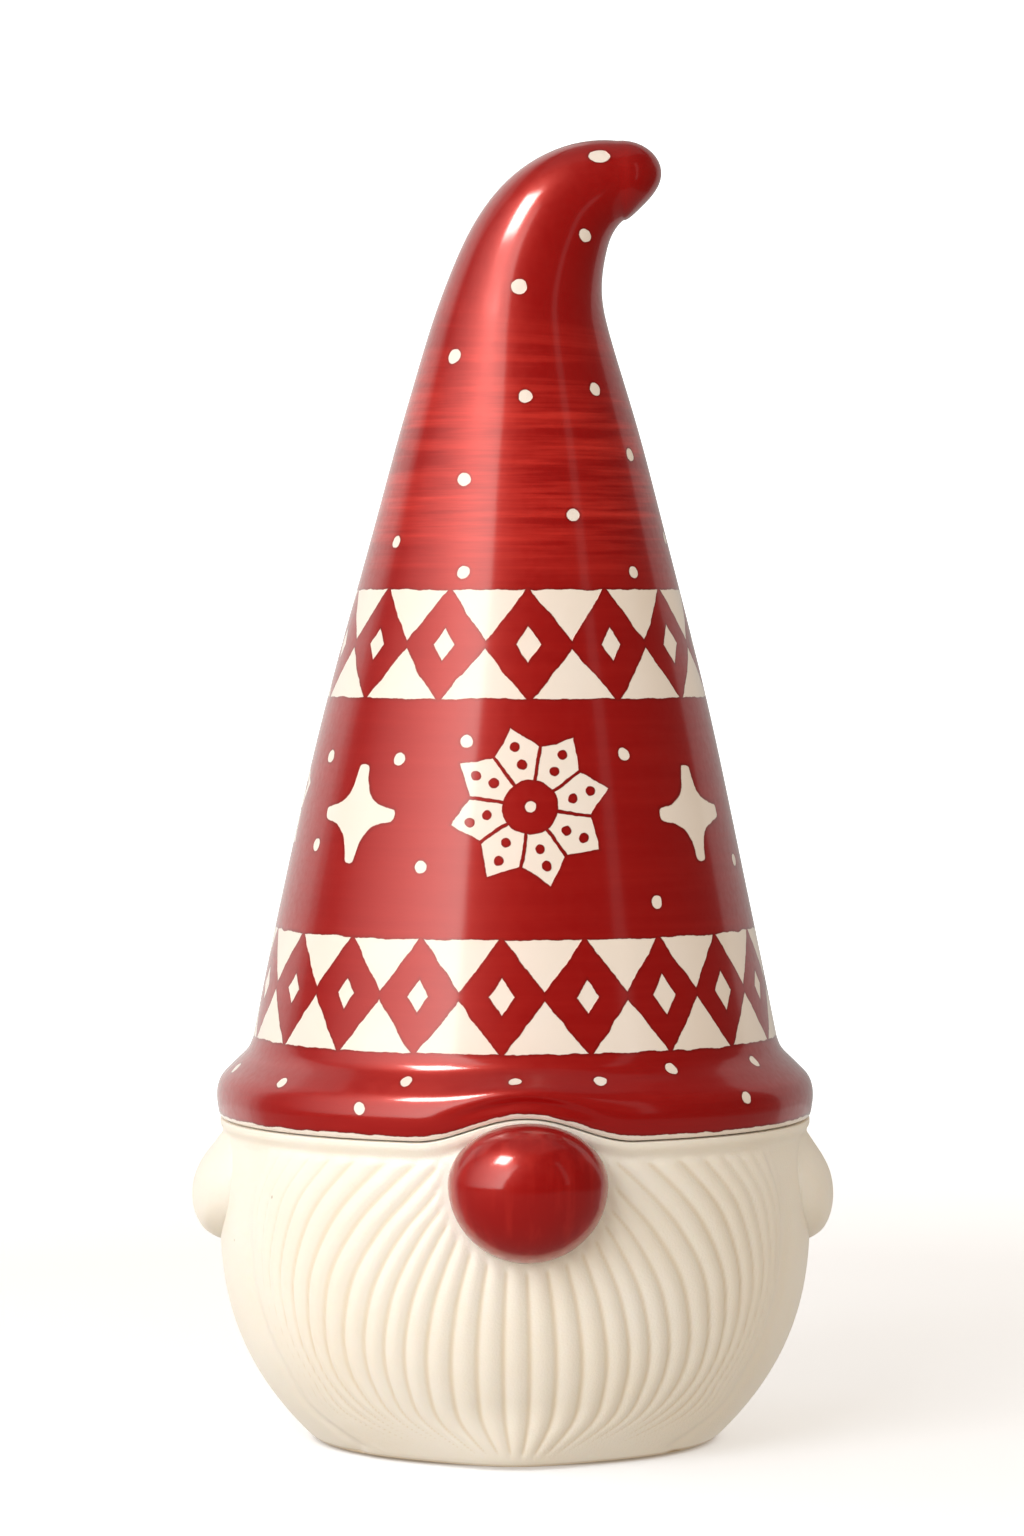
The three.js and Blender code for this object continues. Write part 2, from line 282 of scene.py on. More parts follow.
def line(start, end, steps):
    """Points from start to end, without the first."""
    a, b = np.array(start, float), np.array(end, float)
    return [tuple(a + (b - a) * i / steps) for i in range(1, steps + 1)]


def spun(name, profile, steps):
    """Spins a profile of (radius, height) points about Z into a shell that faces outwards.

    An eighth is spun, and then copied round three times, which is far quicker than a full spin.
    """
    bm = bmesh.new()
    verts = [bm.verts.new((radius, 0, height)) for radius, height in profile]
    for a, b in zip(verts, verts[1:]):
        bm.edges.new((a, b))
    eighth = math.pi / 4
    ends = {"axis": (0, 0, 1), "cent": (0, 0, 0)}
    bmesh.ops.spin(bm, geom=bm.verts[:] + bm.edges[:], angle=eighth, steps=steps // 8, **ends)
    for turn in (eighth, 2 * eighth, 4 * eighth):
        copied = bmesh.ops.duplicate(bm, geom=bm.verts[:] + bm.edges[:] + bm.faces[:])["geom"]
        moved = [part for part in copied if isinstance(part, bmesh.types.BMVert)]
        bmesh.ops.rotate(bm, matrix=Matrix.Rotation(turn, 3, "Z"), verts=moved)
    return shell(name, bm)


def shell(name, bm):
    """Closes a bmesh's poles and seam, turns its faces outwards and makes it a mesh."""
    bmesh.ops.remove_doubles(bm, verts=bm.verts[:], dist=1e-3)
    bmesh.ops.recalc_face_normals(bm, faces=bm.faces[:])
    mesh = bpy.data.meshes.new(name)
    bm.to_mesh(mesh)
    bm.free()
    return mesh


def points_of(mesh):
    """Every vertex of a mesh, one row each."""
    flat = np.empty(len(mesh.vertices) * 3, np.float32)
    mesh.vertices.foreach_get("co", flat)
    return flat.reshape(-1, 3).astype(float)


def face_middles(mesh):
    """The middle of every face of a mesh, one row each."""
    flat = np.empty(len(mesh.polygons) * 3, np.float32)
    mesh.polygons.foreach_get("center", flat)
    return flat.reshape(-1, 3).astype(float)


def move_points(mesh, points):
    """Puts a mesh's vertices at new points."""
    mesh.vertices.foreach_set("co", points.astype(np.float32).ravel())
    mesh.update()


def store(mesh, name, values):
    """Keeps a number or a vector at each point, for a material to read."""
    kind = "FLOAT_VECTOR" if values.ndim == 2 else "FLOAT"
    kept = mesh.attributes.new(name, kind, "POINT")
    field = "vector" if values.ndim == 2 else "value"
    kept.data.foreach_set(field, values.astype(np.float32).ravel())


def finished(mesh, body, node, materials, sharp=50):
    """Makes a millimetre mesh a smooth piece in metres that stands for a CAD node."""
    mesh.transform(Matrix.Scale(1 / MM, 4))
    mesh.polygons.foreach_set("use_smooth", [True] * len(mesh.polygons))
    mesh.set_sharp_from_angle(angle=math.radians(sharp))
    for material in materials:
        mesh.materials.append(material)
    piece = bpy.data.objects.new(mesh.name, mesh)
    bpy.context.scene.collection.objects.link(piece)
    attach(piece, body)
    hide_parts(node)
    return piece


# ---- Shape functions, in millimetres ----


def side_radius(z):
    """Radius of the jar's side between the foot and the face band."""
    rise = np.clip((z - FOOT_HEIGHT) / (BELLY_HEIGHT - FOOT_HEIGHT), 0, 1)
    past = np.clip((z - BELLY_HEIGHT) / (BAND_BOTTOM - BELLY_HEIGHT), 0, None)
    swell = 1 - (1 - rise) ** SIDE_FULLNESS
    return FOOT_RADIUS + (BELLY_RADIUS - FOOT_RADIUS) * swell - SHOULDER_DROP * past**2


def arch_at(azimuth):
    """1 straight above the nose, down to 0 at the ends of the brim's arch."""
    turn = np.abs(azimuth - NOSE_TURN)
    arch = (1 + np.cos(np.pi * turn / ARCH_HALF_ANGLE)) / 2
    return np.where(turn < ARCH_HALF_ANGLE, arch, 0)


def jar_skin():
    """The jar's outer side, from above the foot's edge to the top of the face band."""
    side = [(float(side_radius(z)), z) for z in np.linspace(FOOT_HEIGHT + 1.1, BAND_BOTTOM, 116)]
    roll = (BAND_TOP - BAND_BOTTOM) / 1.5
    start = np.linspace(0, 1, 5)[1:]
    rise = [
        (side[-1][0] + (BAND_RADIUS - side[-1][0]) * t * t * (3 - 2 * t), BAND_BOTTOM + roll * t)
        for t in start
    ]
    bulge = BAND_RADIUS - NECK_RADIUS
    lip = arc(NECK_RADIUS, BAND_TOP - 0.3, bulge, 0.3, 0, 90, 10)
    return side + rise + line(rise[-1], lip[0], 4) + lip[1:]


def skin_radius(z):
    """Radius of the jar's outer side and face band."""
    radii, heights = np.array(jar_skin()).T
    return np.interp(z, heights, radii)


def beard_flow(x, z):
    """Counts the beard's ridges out from the middle: whole numbers run along the ridges."""
    heights, *sides = np.array(spline(BEARD_PATHS, 120)).T
    numbers, *sides = np.array(spline(np.column_stack([BEARD_NUMBERS, sides]), 64)).T
    level = np.interp(z, heights, np.arange(121.0))
    below = np.minimum(level.astype(int), 119)
    sides = np.array(sides)
    grid = sides[below] + (sides[below + 1] - sides[below]) * (level - below)[:, None]
    side = np.abs(x - 0.3)
    past = np.clip((grid < side[:, None]).sum(axis=1), 1, 64)
    point = np.arange(len(side))
    inner, outer = grid[point, past - 1], grid[point, past]
    step = numbers[past] - numbers[past - 1]
    return numbers[past - 1] + (side - inner) / (outer - inner) * step


def beard_relief(points, height, sizes):
    """How far the beard stands off the jar's side, and how deep each point is in a groove."""
    x, y, z = points.T
    azimuth = np.arctan2(x, -y)
    flow = np.where(y < 0, beard_flow(x, z), 40)
    step = 0.2
    across = (beard_flow(x + step, z) - flow) / step * np.cos(azimuth)
    along = (beard_flow(x, z + step) - flow) / step
    pitch = 1 / np.maximum(np.hypot(across, along), 1e-3)
    ridge = (np.cos(np.pi * flow) ** 2 + 0.025) ** 0.42
    nose_x = NOSE_OUT * math.sin(NOSE_TURN)
    from_nose = np.hypot(x - nose_x, z - NOSE_CENTRE) / NOSE_HALF_WIDTH
    inside = 1 - 0.3 * smoothstep(flow, 10, 14) - 0.7 * smoothstep(flow, 15.2, 16.4)
    inside *= smoothstep(pitch, 0.5, 1.3) * smoothstep(height, 2, 5)
    below_band = 1 - smoothstep(height, BAND_BOTTOM - 1.6, BAND_BOTTOM)
    clear = smoothstep(from_nose, 1.02, 1.2)
    groove = (1 - ridge) * inside * below_band * clear
    depth = np.minimum(sizes.groove_share * pitch, sizes.groove_depth * MM)
    raised = sizes.beard_raise * MM * (1 - smoothstep(flow, 14.6, 16.2)) * below_band
    raised *= 0.3 + 0.7 * clear
    valley = 0.6 * np.exp(-(((flow - 16.6) / 1.1) ** 2)) * below_band
    return raised - depth * groove - valley * (y < 0), groove


def bend_hat(points):
    """Lifts the brim over the nose, leans the cone and curls its tip."""
    x, y, z = points.T
    azimuth = np.arctan2(x, -y)
    radius = np.hypot(x, y)
    lift = ARCH_RISE * arch_at(azimuth)
    outside = (radius > BRIM_BORE + 0.01) | (z > SEAT_HEIGHT + 0.01)
    bore = (np.abs(radius - BRIM_BORE) <= 0.01) & (z < SEAT_HEIGHT - 0.01)
    outer_share = 1 - smoothstep(z, BRIM_EDGE, BRIM_TOP)
    bore_share = 1 - (z - BRIM_EDGE) / (SEAT_HEIGHT - BRIM_EDGE)
    z = z + lift * (outside * outer_share + bore * bore_share)
    lengths = np.linspace(0, CURL_LENGTH, 2000)
    angles = CURL_ANGLE * (lengths / CURL_LENGTH) ** CURL_SHARPNESS
    middle = (angles[1:] + angles[:-1]) / 2
    out = np.concatenate([[0], np.cumsum(np.sin(middle) * np.diff(lengths))])
    up = np.concatenate([[0], np.cumsum(np.cos(middle) * np.diff(lengths))])
    past = np.clip(z - CURL_START, 0, None)
    angle = CURL_ANGLE * (past / CURL_LENGTH) ** CURL_SHARPNESS
    lean = HAT_LEAN * smoothstep(z, LEAN_START, CURL_START)
    new_x = lean + np.interp(past, lengths, out) + x * np.cos(angle)
    new_z = np.minimum(z, CURL_START) + np.interp(past, lengths, up) - x * np.sin(angle)
    return np.stack([new_x, y, new_z], 1)


def brim_outline():
    """Points from under the brim's lip, round it and up to the foot of the cone."""
    lip = (BRIM_RADIUS - BRIM_BORE) / 2
    return spline(
        (
            (BRIM_BORE + lip, BRIM_EDGE),
            (BRIM_RADIUS - 0.95, BRIM_EDGE + 0.25),
            (BRIM_RADIUS - 0.4, BRIM_EDGE + 1.6),
            (BRIM_RADIUS, BRIM_EDGE + 5.5),
            (BRIM_RADIUS - 0.9, BRIM_EDGE + 9),
            ((BRIM_RADIUS + HAT_BASE) / 2 + 0.6, BRIM_EDGE + 12),
            (HAT_BASE + 1.3, BRIM_TOP - 2.8),
            (HAT_BASE, BRIM_TOP),
        ),
        30,
    )


def cone_outline(inset, steps):
    """Points up the unbent cone, or up a wall that lies inset millimetres inside it."""
    length = HAT_LENGTH - TIP_ROUNDING
    return [
        (p[0] * HAT_BASE - inset, BRIM_TOP + p[1] * length) for p in spline(HAT_TAPER, steps)
    ]


# ---- Glazes and other materials ----


def past_diamond(tree, across, level, across_scale, level_scale, size):
    """How far past the edge of a diamond each point lies, as a part of its half width."""
    wide = add(tree, "Math", across, across_scale, operation="MULTIPLY")
    tall = add(tree, "Math", level, level_scale, operation="MULTIPLY")
    both = add(tree, "Math", wide, tall, operation="ADD")
    return add(tree, "Math", both, size, operation="SUBTRACT")


def diamond_band(tree, place, azimuth, low, high, count, turn, sizes):
    """Distance from the cream of a band of red diamonds, in millimetres, minus inside it."""
    height = high - low
    cell = 2 * math.pi * float(hat_radius((low + high) / 2)) / count
    turned = add(tree, "Math", azimuth, math.radians(turn), operation="SUBTRACT")
    cells = add(tree, "Math", turned, count / (2 * math.pi), operation="MULTIPLY")
    number = add(tree, "Math", cells, operation="ROUND")
    across = add(tree, "Math", cells, number, operation="SUBTRACT")
    across = add(tree, "Math", across, operation="ABSOLUTE")
    level = add(tree, "Math", place.outputs[2], (low + high) / 2, operation="SUBTRACT")
    from_middle = add(tree, "Math", level, operation="ABSOLUTE")
    chance = add(tree, "TexWhiteNoise", sockets={"W": number}, noise_dimensions="1D")
    # The red diamonds, and the small ivory ones in their middles, which vary in size.
    past = past_diamond(tree, across, from_middle, 2, 2 / height, DIAMOND_SIZE)
    outer_scale = 1 / math.hypot(2 / cell, 2 / height)
    outside = add(tree, "Math", past, -outer_scale, operation="MULTIPLY")
    small_width = sizes.small_diamond_width * MM / 2
    small_height = sizes.small_diamond_height * MM / 2
    spare = add(tree, "Math", chance, 0.3, 0.86, operation="MULTIPLY_ADD")
    past = past_diamond(tree, across, from_middle, cell / small_width, 1 / small_height, spare)
    inner_scale = 1 / math.hypot(1 / small_width, 1 / small_height)
    inside = add(tree, "Math", past, inner_scale, operation="MULTIPLY")
    cream = add(tree, "Math", outside, inside, operation="MINIMUM")
    edge = add(tree, "Math", from_middle, height / 2, operation="SUBTRACT")
    return add(tree, "Math", cream, edge, operation="MAXIMUM")


def motif_ring(tree, place, azimuth, radius, sizes):
    """Distance from the ring of flowers and stars round the middle of the hat."""
    spacing = math.radians(360 / MOTIFS)
    turned = add(tree, "Math", azimuth, MOTIF_TURN, operation="SUBTRACT")
    cells = add(tree, "Math", turned, 1 / spacing, operation="MULTIPLY")
    number = add(tree, "Math", cells, operation="ROUND")
    local = add(tree, "Math", cells, number, operation="SUBTRACT")
    across = add(tree, "Math", local, spacing, operation="MULTIPLY")
    across = add(tree, "Math", across, radius, operation="MULTIPLY")
    level = add(tree, "Math", place.outputs[2], MOTIF_HEIGHT, operation="SUBTRACT")
    level = add(tree, "Math", level, 1.035, operation="MULTIPLY")
    flat = add(tree, "CombineXYZ", across, level)
    reach = add(tree, "VectorMath", flat, operation="LENGTH").outputs["Value"]
    # The flower folds into one petal, whose axis is along.
    around = add(tree, "Math", level, across, operation="ARCTAN2")
    around = add(tree, "Math", around, FLOWER_TURN, operation="SUBTRACT")
    half = math.pi / PETALS
    fold = add(tree, "Math", around, half, -half, operation="WRAP")
    along = add(tree, "Math", fold, operation="COSINE")
    along = add(tree, "Math", reach, along, operation="MULTIPLY")
    off = add(tree, "Math", fold, operation="SINE")
    off = add(tree, "Math", reach, off, operation="MULTIPLY")
    apart = add(tree, "Math", off, operation="ABSOLUTE")
    size = sizes.flower_reach * MM
    point = add(tree, "Math", apart, 1.12, along, operation="MULTIPLY_ADD")
    point = add(tree, "Math", point, size, operation="SUBTRACT")
    point = add(tree, "Math", point, 0.66, operation="MULTIPLY")
    flank = add(tree, "Math", along, -math.sin(half), 0.42, operation="MULTIPLY_ADD")
    flank = add(tree, "Math", apart, math.cos(half), flank, operation="MULTIPLY_ADD")
    hub = add(tree, "Math", size * 0.34, reach, operation="SUBTRACT")
    petal = add(tree, "Math", point, flank, operation="MAXIMUM")
    petal = add(tree, "Math", petal, hub, operation="MAXIMUM")
    spot_place = add(tree, "CombineXYZ", along, off)
    for share, side in ((0.53, -0.35), (0.76, 0.3)):
        spot = add(tree, "VectorMath", spot_place, (size * share, side, 0), operation="DISTANCE")
        spot = add(tree, "Math", 1.15, spot.outputs["Value"], operation="SUBTRACT")
        petal = add(tree, "Math", petal, spot, operation="MAXIMUM")
    eye = add(tree, "Math", reach, 1.2, operation="SUBTRACT")
    flower = add(tree, "Math", petal, eye, operation="MINIMUM")
    # The star has four arms with hollow sides and round ends.
    wrapped = add(tree, "Math", number, 3.5, -3.5, operation="WRAP")
    towards = add(tree, "Math", wrapped, operation="SIGN")
    star_across = add(tree, "Math", towards, STAR_ACROSS, across, operation="MULTIPLY_ADD")
    star_up = add(tree, "Math", level, STAR_DOWN, operation="ADD")
    star_reach = add(tree, "CombineXYZ", star_across, star_up)
    star_reach = add(tree, "VectorMath", star_reach, operation="LENGTH").outputs["Value"]
    star_across = add(tree, "Math", star_across, operation="ABSOLUTE")
    star_up = add(tree, "Math", star_up, operation="ABSOLUTE")
    product = add(tree, "Math", star_across, star_up, operation="MULTIPLY")
    hollow = add(tree, "Math", product, STAR_HOLLOW, operation="SUBTRACT")
    spread = add(tree, "Math", star_reach, 3, operation="ADD")
    hollow = add(tree, "Math", hollow, spread, operation="DIVIDE")
    ends = add(tree, "Math", star_reach, sizes.star_reach * MM, operation="SUBTRACT")
    star = add(tree, "Math", hollow, ends, 1.4, operation="SMOOTH_MAX")
    # Numbers 0, 2 and -2 are flowers and the others are stars.
    odd = add(tree, "Math", wrapped, 1, operation="PINGPONG")
    gap = add(tree, "Math", star, flower, operation="SUBTRACT")
    return add(tree, "Math", gap, odd, flower, operation="MULTIPLY_ADD")


def hat_radius(z):
    """Radius of the unbent hat's outside."""
    outline = np.array(brim_outline() + cone_outline(0, 200)[1:])
    return np.interp(z, outline[:, 1], outline[:, 0])


def red_over_ivory(tree, surface, cream, streaks, place):
    """Red glaze brushed round leftover ivory, where cream is the distance from the ivory."""
    colours, sizes = bpy.context.scene.gnome_colours, bpy.context.scene.gnome_decoration
    ivory = add(tree, "MapRange", cream, 0.1, -0.1, 0, 1, interpolation_type="SMOOTHSTEP")
    outline = add(tree, "MapRange", cream, 0.75, 0.12, 0, 1, interpolation_type="SMOOTHSTEP")
    red = add(tree, "MixRGB", streaks, tuple(colours.red_deep), tuple(colours.red_light))
    outlined = add(tree, "Math", outline, 0.6, operation="MULTIPLY")
    red = add(tree, "MixRGB", outlined, red, linear("6E0508"))
    grains = {"Vector": place, "Scale": 0.05, "Detail": 2, "Roughness": 0.55}
    cloud = add(tree, "TexNoise", sockets=grains)
    warm = add(tree, "MapRange", cloud, 0.35, 0.7, 0, 0.5)
    bare = add(tree, "MixRGB", warm, tuple(colours.ivory), tuple(colours.ivory_warm))
    colour = add(tree, "MixRGB", ivory, red, bare)
    # The glaze lies about a tenth of a millimetre above the ivory, with a soft orange peel.
    grains = {"Vector": place, "Scale": 0.55, "Detail": 2, "Roughness": 0.55}
    peel = add(tree, "TexNoise", sockets=grains)
    peel_height = add(tree, "Math", peel, 0.22, operation="MULTIPLY")
    brush = add(tree, "Math", streaks, 0.12, peel_height, operation="MULTIPLY_ADD")
    height = add(tree, "Math", ivory, -1, brush, operation="MULTIPLY_ADD")
    bump = add(tree, "Bump", sockets={"Strength": 1.0, "Distance": 0.00012, "Height": height})
    rough = add(tree, "MapRange", peel, 0.3, 0.7, 0.36, 0.46)
    # A soft red shine from inside the glaze lies under the clear, sharper shine of its skin.
    finish = add(
        tree,
        "BsdfPrincipled",
        sockets={
            "Base Color": colour,
            "Roughness": rough,
            "Normal": bump,
            "IOR": 1.8,
            "Specular Tint": (1.0, 0.16, 0.12, 1.0),
            "Coat Weight": 0.9,
            "Coat Roughness": sizes.gloss,
        },
    )
    tree.links.new(finish.outputs[0], surface.inputs["Surface"])


def hat_glaze():
    """Red glaze on earthenware, brushed on in rings, with bands, flowers and stars left ivory."""
    sizes = bpy.context.scene.gnome_decoration
    material, tree, surface = blank_material("Brushed red glaze on earthenware")
    thrown = add(tree, "Attribute", attribute_name="thrown").outputs["Vector"]
    grains = {"Vector": thrown, "Scale": 0.17, "Detail": 3, "Roughness": 0.6}
    wander = add(tree, "TexNoise", sockets=grains).outputs["Color"]
    wander = add(tree, "VectorMath", wander, (0.5, 0.5, 0.5), operation="SUBTRACT")
    hand = sizes.hand_wobble * MM
    moved = add(tree, "VectorMath", wander, (hand, hand, hand), thrown, operation="MULTIPLY_ADD")
    place = add(tree, "SeparateXYZ", moved)
    facing = add(tree, "Math", place.outputs[1], -1, operation="MULTIPLY")
    azimuth = add(tree, "Math", place.outputs[0], facing, operation="ARCTAN2")
    flat = add(tree, "CombineXYZ", place.outputs[0], place.outputs[1])
    radius = add(tree, "VectorMath", flat, operation="LENGTH").outputs["Value"]
    cream = diamond_band(tree, place, azimuth, *UPPER_BAND, sizes)
    lower = diamond_band(tree, place, azimuth, *LOWER_BAND, sizes)
    cream = add(tree, "Math", cream, lower, operation="MINIMUM")
    motifs = motif_ring(tree, place, azimuth, radius, sizes)
    cream = add(tree, "Math", cream, motifs, operation="MINIMUM")
    nearest = None
    for turn, height in dot_places():
        r = float(hat_radius(height))
        a = math.radians(turn)
        centre = (r * math.sin(a), -r * math.cos(a), height)
        span = add(tree, "VectorMath", moved, centre, operation="DISTANCE").outputs["Value"]
        nearest = add(tree, "Math", nearest, span, operation="MINIMUM") if nearest else span
    # The dots grow a little towards the tip.
    dot = sizes.dot_radius * MM
    reach = add(tree, "MapRange", place.outputs[2], 210, 290, dot, dot * 1.3)
    dots = add(tree, "Math", nearest, reach, operation="SUBTRACT")
    cream = add(tree, "Math", cream, dots, operation="MINIMUM")
    lip = add(tree, "Math", place.outputs[2], BRIM_EDGE + 1.15, operation="SUBTRACT")
    cream = add(tree, "Math", cream, lip, operation="MINIMUM")
    # Streaks run round the hat: long ones from the wheel and short ones from the brush.
    drawn = add(tree, "VectorMath", thrown, (0.018, 0.018, 0.3), operation="MULTIPLY")
    grains = {"Vector": drawn, "Scale": 1, "Detail": 4, "Roughness": 0.62}
    long_streaks = add(tree, "TexNoise", sockets=grains)
    drawn = add(tree, "VectorMath", thrown, (0.03, 0.03, 0.9), operation="MULTIPLY")
    grains = {"Vector": drawn, "Scale": 1, "Detail": 2, "Roughness": 0.6}
    short_streaks = add(tree, "TexNoise", sockets=grains)
    mixed = add(tree, "Math", short_streaks, 0.5, long_streaks, operation="MULTIPLY_ADD")
    level = add(tree, "SeparateXYZ", thrown).outputs[2]
    upper = add(tree, "MapRange", level, UPPER_BAND[1], UPPER_BAND[1] + 14, 0.12, 1.0)
    tip = add(tree, "MapRange", level, HAT_TIP - 74, HAT_TIP - 46, 1, 0.05)
    amount = add(tree, "Math", upper, tip, operation="MULTIPLY")
    strength = add(tree, "Math", amount, sizes.streak_strength, operation="MULTIPLY")
    streaks = add(tree, "MapRange", mixed, 0.66, 0.98, 0, 1)
    streaks = add(tree, "Math", streaks, strength, operation="MULTIPLY")
    red_over_ivory(tree, surface, cream, streaks, thrown)
    return material


def dot_places():
    """Every loose dot: the front ones, and the same ones again round the back."""
    for turn, height in CONE_DOTS + MIDDLE_DOTS + BRIM_DOTS:
        yield turn, height
        if abs(turn) < 76:
            yield 184 - turn, height


def nose_glaze():
    """Red glaze on the nose, brushed on downwards, with the ivory showing round its edge."""
    material, tree, surface = blank_material("Red glaze on the nose")
    place = in_millimetres(tree)
    stand = add(tree, "Attribute", attribute_name="stand").outputs["Fac"]
    grains = {"Vector": place, "Scale": 0.35, "Detail": 2, "Roughness": 0.55}
    ripple = add(tree, "TexNoise", sockets=grains)
    cream = add(tree, "Math", ripple, 0.5, stand, operation="MULTIPLY_ADD")
    cream = add(tree, "Math", cream, 0.5, operation="SUBTRACT")
    drawn = add(tree, "VectorMath", place, (0.4, 0.25, 0.03), operation="MULTIPLY")
    grains = {"Vector": drawn, "Scale": 1, "Detail": 2, "Roughness": 0.5}
    streaks = add(tree, "TexNoise", sockets=grains)
    streaks = add(tree, "MapRange", streaks, 0.48, 0.75, 0, 0.22)
    red_over_ivory(tree, surface, cream, streaks, place)
    return material


def ivory_glaze():
    """Satin ivory glaze with a fine grain and a few specks, and painted tan shade deep in the
    beard's grooves.
    """
    colours = bpy.context.scene.gnome_colours
    material, tree, surface = blank_material("Satin ivory glaze on earthenware")
    place = in_millimetres(tree)
    groove = add(tree, "Attribute", attribute_name="groove").outputs["Fac"]
    grains = {"Vector": place, "Scale": 0.035, "Detail": 2, "Roughness": 0.55}
    cloud = add(tree, "TexNoise", sockets=grains)
    warm = add(tree, "MapRange", cloud, 0.35, 0.7, 0, 0.55)
    colour = add(tree, "MixRGB", warm, tuple(colours.ivory), tuple(colours.ivory_warm))
    # Painted shade: the ivory is mixed towards tan deep in the beard's grooves, where shade falls.
    deep = add(tree, "MapRange", groove, 0.35, 1, 0, 0.75, interpolation_type="SMOOTHSTEP")
    colour = add(tree, "MixRGB", deep, colour, tuple(colours.ivory_groove_shade))
    # Iron specks about half a millimetre across, one in every few centimetres.
    specks = add(tree, "TexVoronoi", sockets={"Vector": place, "Scale": 0.11})
    chance = add(tree, "SeparateXYZ", specks.outputs["Color"]).outputs[0]
    close = add(tree, "MapRange", specks.outputs["Distance"], 0.055, 0.03, 0, 1)
    rare = add(tree, "Math", chance, 0.9, operation="GREATER_THAN")
    speck = add(tree, "Math", close, rare, operation="MULTIPLY")
    speck = add(tree, "Math", speck, 0.5, operation="MULTIPLY")
    colour = add(tree, "MixRGB", speck, colour, linear("8A6A45"))
    # The bare clay of the foot's edge is browner.
    level = add(tree, "SeparateXYZ", place).outputs[2]
    foot = add(tree, "MapRange", level, FOOT_HEIGHT + 1.0, FOOT_HEIGHT + 0.3, 0, 0.6)
    colour = add(tree, "MixRGB", foot, colour, linear("A98D63"))
    grains = {"Vector": place, "Scale": 1.6, "Detail": 3, "Roughness": 0.6}
    grain = add(tree, "TexNoise", sockets=grains)
    grains = {"Vector": place, "Scale": 0.12, "Detail": 2, "Roughness": 0.55}
    sag = add(tree, "TexNoise", sockets=grains)
    height = add(tree, "Math", sag, 1.5, grain, operation="MULTIPLY_ADD")
    bump = add(tree, "Bump", sockets={"Strength": 0.8, "Distance": 0.00012, "Height": height})
    rough = add(tree, "MapRange", grain, 0.3, 0.7, 0.36, 0.5)
    finish = add(
        tree,
        "BsdfPrincipled",
        sockets={
            "Base Color": colour,
            "Roughness": rough,
            "Normal": bump,
            "IOR": 1.5,
            "Subsurface Weight": 0.12,
            "Subsurface Radius": (1.0, 0.7, 0.45),
            "Subsurface Scale": 0.0018,
            "Coat Weight": 0.12,
            "Coat Roughness": 0.25,
        },
    )
    tree.links.new(finish.outputs[0], surface.inputs["Surface"])
    return material


def wool_felt():
    """Pressed wool felt: short tangled hairs that scatter light, so it has no shine."""
    material, tree, surface = blank_material("Pressed wool felt")
    place = in_millimetres(tree)
    grains = {"Vector": place, "Scale": 1.1, "Detail": 5, "Roughness": 0.75}
    hairs = add(tree, "TexNoise", sockets=grains)
    felt = tuple(bpy.context.scene.gnome_colours.felt)
    colour = add(tree, "MixRGB", hairs, felt, linear("8C857C"))
    bump = add(tree, "Bump", sockets={"Strength": 1.0, "Distance": 0.0003, "Height": hairs})
    finish = add(
        tree,
        "BsdfPrincipled",
        sockets={
            "Base Color": colour,
            "Roughness": 0.95,
            "Normal": bump,
            "Sheen Weight": 0.3,
            "Sheen Roughness": 0.5,
        },
    )
    tree.links.new(finish.outputs[0], surface.inputs["Surface"])
    return material


def moulded_silicone():
    """Moulded silicone: milky, a little see-through at its ribs, with a matt skin."""
    material, tree, surface = blank_material("Moulded silicone rubber")
    place = in_millimetres(tree)
    grains = {"Vector": place, "Scale": 0.4, "Detail": 3, "Roughness": 0.55}
    dust = add(tree, "TexNoise", sockets=grains)
    rough = add(tree, "MapRange", dust, 0.3, 0.7, 0.42, 0.62)
    milky = tuple(bpy.context.scene.gnome_colours.silicone)
    tint = add(tree, "MixRGB", dust, milky, linear("D8D4CB"))
    bump = add(tree, "Bump", sockets={"Strength": 0.5, "Distance": 0.00005, "Height": dust})
    finish = add(
        tree,
        "BsdfPrincipled",
        sockets={
            "Base Color": tint,
            "Roughness": rough,
            "Normal": bump,
            "IOR": 1.41,
            "Subsurface Weight": 0.4,
            "Subsurface Radius": (1.0, 0.95, 0.9),
            "Subsurface Scale": 0.0015,
        },
    )
    tree.links.new(finish.outputs[0], surface.inputs["Surface"])
    return material


def studio_paper():
    """Matt white studio paper, which also glows a little so that it stays pale in the corners."""
    material, tree, surface = blank_material("White studio paper")
    place = add(tree, "TexCoord").outputs["Object"]
    grains = {"Vector": place, "Scale": 60, "Detail": 3, "Roughness": 0.55}
    fibre = add(tree, "TexNoise", sockets=grains)
    paper = tuple(bpy.context.scene.gnome_colours.floor)
    colour = add(tree, "MixRGB", fibre, paper, linear("EEF1F7"))
    reach = add(tree, "VectorMath", place, operation="LENGTH").outputs["Value"]
    near = bpy.context.scene.gnome_studio.floor_glow
    glow = add(tree, "MapRange", reach, 0.35, 1.4, near, 1.0)
    # No light gets in under the foot.
    foot = FOOT_RADIUS / MM
    open_floor = add(tree, "MapRange", reach, foot - 0.002, foot + 0.0005, 0, 1)
    glow = add(tree, "Math", glow, open_floor, operation="MULTIPLY")
    finish = add(
        tree,
        "BsdfPrincipled",
        sockets={
            "Base Color": colour,
            "Roughness": 0.9,
            "Emission Color": linear("F6FAFF"),
            "Emission Strength": glow,
        },
    )
    tree.links.new(finish.outputs[0], surface.inputs["Surface"])
    return material


# ---- Properties ----


